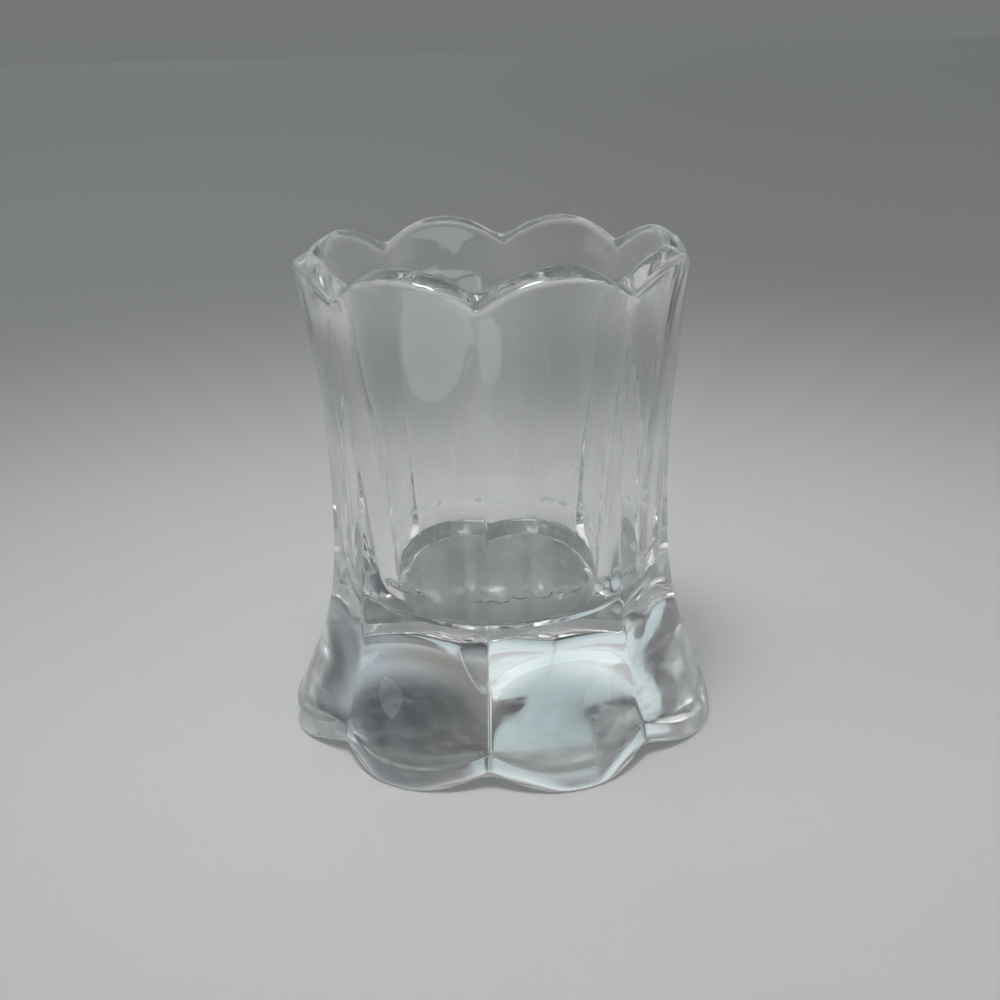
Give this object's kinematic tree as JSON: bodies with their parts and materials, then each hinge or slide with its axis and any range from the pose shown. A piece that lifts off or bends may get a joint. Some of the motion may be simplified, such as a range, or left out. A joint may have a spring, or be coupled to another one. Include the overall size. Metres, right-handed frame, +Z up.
{
  "type": "toothpick holder",
  "caption": "Waisted toothpick holder of clear pressed glass with flat panels, a scalloped rim, a round tapered well and a thick lobed foot.",
  "frame": {"origin": "on the table, under the middle of the foot", "axes": "+Z up along the axis of the well; -Y is the front, where a ridge between two panels faces"},
  "size_m": [0.0536, 0.0536, 0.06],
  "materials": {
    "clear_glass": "fire-polished pressed glass, clear, with fine wear in the well"
  },
  "bodies": {
    "root": {"glass_holder": "clear_glass"}
  },
  "joints": []
}
